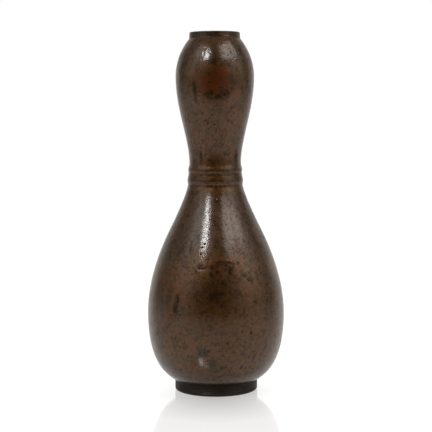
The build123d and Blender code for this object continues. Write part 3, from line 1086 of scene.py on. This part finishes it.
def bronze(name, base, clouds, metal, wax, grain, marks=(), outline=(), shelf=None):
    """Builds one bronze: metal is (share, roughness), wax (weight, roughness), grain (size, depth).

    A shelf is a zone that looks up, between two pairs of heights: its colour is darkened as painted shade,
    and it shows less metal and a broken wax.
    """
    material, tree, place = new_material(name)
    colour = linear(base)
    for size, seed, start, end, tint, strength in clouds:
        cloud = cloud_mask(tree, place, size, seed, start, end)
        colour = colour_coat(tree, colour, tint, cloud, strength)
    pinholes, fronts = pinhole_mask(tree, place), front_mask(tree, place)
    colour = colour_coat(tree, colour, PINHOLE_TINT, pinholes, PINHOLE_STRENGTH)
    colour = colour_coat(tree, colour, FRONT_TINT, fronts, FRONT_STRENGTH)
    bare = 0.0
    for tint, strength, reach, wax_lost, places in marks:
        mask = mark_mask(tree, wandering(tree, place, WANDER_SIZE * reach, reach), outline, places)
        if reach > SOLID_REACH:
            ragged = cloud_mask(tree, place, *RAGGED_CLOUDS)
            mask = add_node(tree, MATH, {0: mask, 1: ragged}, operation="MULTIPLY")
        colour = colour_coat(tree, colour, tint, mask, strength)
        bare = add_node(tree, MATH, {0: mask, 1: wax_lost, 2: bare}, operation="MULTIPLY_ADD")
    dark_specks = add_node(tree, MATH, {0: cloud, 1: pinholes}, operation="MAXIMUM")
    specks = add_node(tree, MATH, {0: dark_specks, 1: fronts}, operation="MAXIMUM")
    bare = add_node(tree, MATH, {0: specks, 1: SPECK_WAX_LOST, 2: bare}, operation="MULTIPLY_ADD")
    share = metal[0]
    if shelf:
        shelf_zone = shelf_mask(tree, place, shelf)
        # Painted shade: the colour is darkened where the vessel looks up.
        shade = add_node(tree, MATH, {0: shelf_zone, 1: -SHELF_PAINTED_SHADE, 2: 1.0}, operation="MULTIPLY_ADD")
        colour = add_node(tree, VECTOR_MATH, {0: colour, "Scale": shade}, operation="SCALE")
        share = add_node(
            tree, MATH, {0: shelf_zone, 1: -SHELF_METAL * metal[0], 2: metal[0]}, operation="MULTIPLY_ADD",
        )
        uneven = cloud_mask(tree, place, *SHELF_CLOUDS)
        grainy = add_node(tree, MATH, {0: uneven, 1: shelf_zone}, operation="MULTIPLY")
        bare = add_node(tree, MATH, {0: grainy, 1: SHELF_GRAIN, 2: bare}, operation="MULTIPLY_ADD")
    lost = add_node(tree, "ShaderNodeClamp", {0: bare})
    waxed = add_node(tree, MATH, {0: 1.0, 1: lost}, operation="SUBTRACT")
    # The cast grain is finer than a pixel, so it is drawn at about a millimetre, where it shows.
    fine = add_node(
        tree, NOISE, {"Vector": place, "W": GRAIN_SEED, "Scale": 1.0 / grain[0], **CLOUD_DETAIL},
        noise_dimensions="4D",
    )
    skin = add_node(
        tree, "ShaderNodeBump", {"Height": fine, "Strength": GRAIN_BUMP, "Distance": grain[1] * MM},
    )
    smoothest = metal[1] - GRAIN_ROUGHNESS / 2
    shader = add_node(
        tree, "ShaderNodeBsdfPrincipled",
        {
            "Base Color": colour, "Metallic": share, "Normal": skin, "Coat Normal": skin,
            "Roughness": add_node(
                tree, MATH, {0: fine, 1: GRAIN_ROUGHNESS, 2: smoothest}, operation="MULTIPLY_ADD",
            ),
            "Coat Weight": add_node(tree, MATH, {0: waxed, 1: wax[0]}, operation="MULTIPLY"),
            "Coat Roughness": wax[1], "Specular IOR Level": METAL_SPECULAR,
        },
    )
    add_node(tree, "ShaderNodeOutputMaterial", {"Surface": shader})
    print(name, len(tree.nodes), "nodes")
    return material


# %% [markdown]
# ## Waxed brown bronze
# Body, bulb and sleeve are cast bronze, browned with heat and rubbed with wax. They could be one
# finish, but each has marks of its own in the photograph, so they share the brown and differ in the
# marks. The bulb and the sleeve are rubbed a little shinier, and the sleeve is darker.

# %% Brown and its clouds
# Browned bronze under wax gives the eye a deep, uneven brown with soft warm edges and sharp highlights.
BROWN, SLEEVE_BROWN = "#5b3a16", "#422910"
BROWN_CLOUDS = (
    (30.0, 1.0, 0.44, 0.62, "#5e3e18", 0.7),
    (22.0, 4.0, 0.50, 0.64, "#4a3816", 0.6),
    (14.0, 7.0, 0.54, 0.68, "#643114", 0.5),
    (10.0, 10.0, 0.52, 0.68, "#2c1a0a", 0.56),
    (12.0, 13.0, 0.56, 0.70, "#46402d", 0.5),
    (7.0, 27.0, 0.48, 0.62, "#664227", 0.55),
    (5.0, 29.0, 0.52, 0.66, "#261608", 0.64),
    (1.8, 19.0, 0.50, 0.68, "#7d572b", 0.46),
    (2.2, 16.0, 0.53, 0.66, "#2a1706", 0.50),
)
BROWN_METAL, SLEEVE_METAL = (0.68, 0.32), (0.55, 0.34)
BODY_WAX, BULB_WAX, SLEEVE_WAX = (1.0, 0.17), (1.0, 0.14), (1.0, 0.13)
BROWN_GRAIN = (1.1, 0.3)
SHOULDER_SHELF, CROWN_SHELF = ((98.0, 118.0), (162.0, 152.0)), ((248.0, 259.0), (300.0, 290.0))
print("clouds", len(BROWN_CLOUDS))

# %% Marks of the body
BODY_MARKS = (
    (
        "#7a4018", 0.5, 3.0, 0.0,
        ((3.0, 108.0, 6.0, 3.6), (-3.0, 103.5, 4.0, 3.5), (-36.0, 86.0, 6.0, 9.0), (-52.0, 92.0, 5.0, 6.0)),
    ),
    ("#6d3a24", 0.45, 4.0, 0.0, ((-44.0, 57.0, 8.0, 10.0), (40.0, 55.0, 7.0, 8.0), (-20.0, 24.0, 9.0, 6.0))),
    # A broad soft dark patch on the front of the belly: a darker stain, deepened as painted dark reflection
    # of the room before the vessel.
    ("#1f1205", 0.4, 4.0, 0.0, ((-1.0, 86.0, 21.0, 17.0),)),
    ("#1f1205", 0.55, 3.0, 0.2, ((6.0, 103.0, 13.0, 4.6), (15.0, 101.0, 8.0, 4.6), (-13.0, 102.8, 8.0, 2.2))),
    (
        "#180e05", 0.7, 2.2, 0.5,
        (
            (4.0, 105.2, 4.0, 2.6), (11.0, 104.8, 4.0, 2.4), (17.7, 104.0, 3.4, 2.0), (14.0, 100.8, 2.8, 2.8),
            (13.0, 97.6, 2.4, 2.4), (-3.5, 101.4, 2.6, 3.0), (-4.5, 96.6, 2.8, 2.6), (1.5, 98.4, 2.2, 1.9),
            (13.9, 105.0, 4.6, 1.8), (20.8, 104.2, 3.4, 1.8), (-13.5, 101.4, 4.6, 1.8),
        ),
    ),
    ("#1a0f05", 0.65, 1.4, 0.5, ((-35.0, 71.5, 3.8, 8.6), (-33.4, 77.0, 2.6, 5.0))),
    ("#20261a", 0.75, 1.5, 0.45, ((32.0, 92.2, 5.0, 3.4), (26.5, 95.4, 4.0, 2.6), (34.2, 74.9, 2.2, 2.1))),
    ("#2c2820", 0.75, 1.2, 0.1, ((-10.7, 38.2, 6.4, 5.0), (-3.2, 29.4, 5.0, 6.6))),
    (
        "#4d4a3a", 0.4, 4.0, 0.0,
        (
            (-28.9, 70.3, 7.0, 7.0), (-49.9, 71.5, 5.0, 7.0), (-30.6, 60.3, 8.0, 5.0),
            (-17.3, 53.5, 5.0, 6.0), (0.0, 52.3, 6.0, 7.0),
        ),
    ),
    (
        "#120b06", 0.75, 0.8, 0.6,
        (
            (-11.7, 118.9, 0.9, 1.0), (-14.2, 116.4, 1.0, 1.0), (-15.0, 111.3, 0.9, 1.2),
            (-8.5, 107.8, 3.2, 1.0), (-13.5, 101.4, 3.6, 0.8), (47.6, 75.2, 1.6, 1.6),
            (-35.8, 22.7, 1.3, 1.3), (23.6, 25.2, 1.6, 1.7), (-2.9, 15.7, 1.6, 1.4),
            (29.9, 52.5, 1.8, 2.2), (9.1, 45.2, 1.5, 1.4),
        ),
    ),
    # These two pale marks are painted highlights: a glint off the dent by the low spacer, and one along the
    # left crescent.
    ("#a39c93", 0.42, 1.2, 0.0, ((-13.2, 30.9, 2.6, 5.0),)),
    ("#8d8378", 0.4, 1.2, 0.0, ((-14.0, 99.7, 4.2, 0.9),)),
    ("#0e0905", 0.9, 0.3, 0.8, ((3.1, 151.0, 2.6, 2.2),)),
    # A painted highlight: the bright glint in the pit high on the shoulder, inside its dark ring.
    ("#e0d8ce", 0.9, 0.1, 0.0, ((2.9, 151.8, 0.8, 0.7),)),
)
body_bronze = bronze(
    "waxed_brown_bronze_body", BROWN, BROWN_CLOUDS, BROWN_METAL, BODY_WAX, BROWN_GRAIN,
    BODY_MARKS, body_outside, SHOULDER_SHELF,
)

# %% Marks of the bulb and the sleeve
BULB_MARKS = (
    (
        "#7a3815", 0.85, 5.0, 0.0,
        (
            (1.0, 241.5, 18.0, 14.0), (-10.0, 236.0, 8.0, 8.0), (12.0, 247.0, 8.0, 7.0),
            (34.6, 233.0, 6.0, 5.0), (-38.4, 248.3, 5.0, 5.0),
        ),
    ),
    (
        # Dark bands across the front of the bulb, below and above the red zone: darker patina, deepened as
        # painted dark reflection of the room.
        "#241606", 0.75, 3.0, 0.45,
        (
            (4.0, 229.3, 11.0, 3.4), (-9.0, 232.5, 5.0, 4.0), (15.5, 231.8, 5.0, 4.0),
            (3.5, 256.0, 11.0, 4.5),
        ),
    ),
    ("#1c1005", 0.65, 1.4, 0.55, ((-30.0, 234.0, 2.8, 11.0), (-31.5, 238.0, 2.0, 8.0))),
    ("#1f1205", 0.6, 1.4, 0.5, ((-32.1, 184.0, 2.2, 8.0), (51.9, 184.0, 2.2, 8.0))),
    ("#2f200d", 0.5, 4.0, 0.1, ((29.0, 243.0, 8.0, 11.0),)),
    # A dark reddish patch on the front of the crown, between the lamp highlights: reddish patina, darkened as
    # painted dark reflection of the room.
    ("#2b1510", 0.5, 3.0, 0.2, ((1.0, 264.0, 8.0, 7.0),)),
    ("#5b5433", 0.6, 3.0, 0.0, ((-39.0, 250.0, 7.0, 8.0), (44.0, 246.0, 5.0, 11.0))),
    (
        "#71301a", 0.35, 1.6, 0.0,
        ((-45.3, 268.2, 3.5, 2.5), (-42.3, 204.3, 2.5, 4.0), (-41.4, 195.8, 2.0, 4.0)),
    ),
    (
        "#120a04", 0.7, 0.8, 0.4,
        (
            (-12.1, 210.4, 1.9, 1.6), (-4.9, 216.4, 1.3, 1.1), (-1.8, 208.9, 1.3, 1.1),
            (-15.5, 211.9, 1.4, 1.2), (-9.0, 213.6, 1.0, 0.9), (-6.5, 207.2, 1.0, 0.9),
            (-18.5, 208.8, 1.0, 0.9), (27.5, 263.4, 1.3, 2.2),
        ),
    ),
)
SLEEVE_MARKS = (("#7a3a20", 0.4, 1.6, 0.0, ((27.6, 163.0, 4.0, 2.2),)),)
bulb_bronze = bronze(
    "waxed_brown_bronze_bulb", BROWN, BROWN_CLOUDS, BROWN_METAL, BULB_WAX, BROWN_GRAIN,
    BULB_MARKS, bulb_outside, CROWN_SHELF,
)
sleeve_bronze = bronze(
    "waxed_brown_bronze_sleeve", SLEEVE_BROWN, BROWN_CLOUDS, SLEEVE_METAL, SLEEVE_WAX, BROWN_GRAIN,
    SLEEVE_MARKS, sleeve_outside,
)

# %% [markdown]
# ## The other bronzes and the solder
# The lip, foot, spacers and inside are the same metal, but each was treated another way, so the same
# recipe makes them with less wax and other tones. The solder is tin and lead, which the recipe also
# suits: a grey metal, dulled by air, with no wax to speak of.

# %% Lip and foot
# The lip is rubbed thin by hands: it gives the eye a dull olive brown with reddish bare places.
LIP_MARKS = (
    # The darker front of the lip: painted dark reflection of the room before the vessel.
    ("#1d140b", 0.6, 2.0, 0.2, ((-9.0, 277.5, 6.0, 3.0), (4.0, 277.5, 6.0, 3.0))),
    ("#7d4a1c", 0.4, 1.0, 0.0, ((14.0, 277.9, 4.0, 0.9), (27.0, 276.7, 4.0, 0.8))),
)
lip_bronze = bronze(
    "worn_olive_lip_bronze", "#3f301f",
    (
        (14.0, 2.0, 0.44, 0.60, "#4a3d27", 0.8), (7.0, 6.0, 0.54, 0.68, "#281b10", 0.6),
        (5.0, 9.0, 0.58, 0.70, "#70431d", 0.6), (1.6, 12.0, 0.50, 0.70, "#251910", 0.5),
    ),
    metal=(0.5, 0.45), wax=(0.8, 0.28), grain=(1.2, 0.25), marks=LIP_MARKS, outline=lip_side,
)
# The foot is turned and hardly waxed: it gives the eye a matt near-black with fine lines of light.
foot_bronze = bronze(
    "matt_black_foot_bronze", "#2a2017",
    (
        (9.0, 3.0, 0.48, 0.66, "#3a291b", 0.7), (4.0, 8.0, 0.52, 0.70, "#17110c", 0.7),
        (1.5, 12.0, 0.54, 0.72, "#4a392a", 0.4),
    ),
    metal=(0.2, 0.5), wax=(0.4, 0.32), grain=(1.0, 0.25),
)

# %% Spacers, inside and solder
# The spacers are of another melt: they give the eye square patches, greyer than the wall round them.
spacer_bronze = bronze(
    "grey_spacer_bronze", "#3e3427",
    (
        (5.0, 4.0, 0.42, 0.62, "#463f32", 0.8), (3.0, 9.0, 0.52, 0.68, "#2c2116", 0.7),
        (1.4, 14.0, 0.50, 0.70, "#2a2018", 0.6),
    ),
    metal=(0.5, 0.42), wax=(0.9, 0.26), grain=(1.3, 0.3),
)
# The inside keeps its raw cast skin: it gives the eye a rough, dull dark brown with green in it.
inside_bronze = bronze(
    "raw_cast_inside_bronze", "#2a1e14",
    (
        (12.0, 5.0, 0.45, 0.62, "#3a2a1a", 0.8), (6.0, 9.0, 0.55, 0.70, "#374034", 0.5),
        (1.8, 14.0, 0.50, 0.70, "#130d08", 0.6),
    ),
    metal=(0.3, 0.65), wax=(0.1, 0.5), grain=(1.6, 0.5),
)
# Soft solder gives the eye a dull, slightly blotchy grey in the joints.
soft_solder = bronze(
    "dull_soft_solder", "#77756f",
    ((3.0, 5.0, 0.44, 0.62, "#5c5a54", 0.7), (1.2, 9.0, 0.55, 0.70, "#8d8b85", 0.5)),
    metal=(0.7, 0.5), wax=(0.1, 0.4), grain=(0.8, 0.2),
)

# %% [markdown]
# ## Finishes on the pieces
# Faces that look at the axis are the raw inside of the castings and get their own finish. They could
# be separate pieces, but a second material on the same wall leaves no seam. Each piece then takes the
# place of its node in the frame, and the solder keeps its nodes as they are.

# %% Assign the finishes
LOOKS_IN = -0.1


def line_inside(piece, material):
    """Gives the faces that look at the vessel's axis a second material."""
    piece.data.materials.append(material)
    make_active(piece)
    bpy.ops.object.mode_set(mode="EDIT")
    bpy.ops.mesh.select_mode(type="FACE")
    bpy.ops.mesh.select_all(action="DESELECT")
    mesh = bmesh.from_edit_mesh(piece.data)
    for face in mesh.faces:
        face.select_set(looks_out(face.calc_center_median(), face.normal) < LOOKS_IN)
    bmesh.update_edit_mesh(piece.data)
    piece.active_material_index = len(piece.data.materials) - 1
    bpy.ops.object.material_slot_assign()
    bpy.ops.object.mode_set(mode="OBJECT")


for piece, material, node, slot in (
    (lower_casting, body_bronze, "lower_body", "body_bronze"),
    (upper_casting, bulb_bronze, "upper_bulb", "body_bronze"),
    (beaded_sleeve, sleeve_bronze, "neck_collar", "body_bronze"),
    (lip, lip_bronze, "mouth_rim", "rim_bronze"),
    (turned_foot, foot_bronze, "foot_ring", "foot_bronze"),
    (base_disc, foot_bronze, "base_plate", "foot_bronze"),
    (body_spacers, spacer_bronze, "body_chaplets", "chaplet_bronze"),
    (bulb_spacers, spacer_bronze, "bulb_chaplets", "chaplet_bronze"),
):
    piece.data.materials.clear()
    piece.data.materials.append(material)
    if piece in (lower_casting, upper_casting):
        line_inside(piece, inside_bronze)
    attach(piece, "root")
    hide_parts(node)
    print(piece.name, "stands for", node)
for node in ("rim_solder", "neck_solder", "foot_solder", "base_solder"):
    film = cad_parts[node]
    film.data.materials.clear()
    film.data.materials.append(soft_solder)
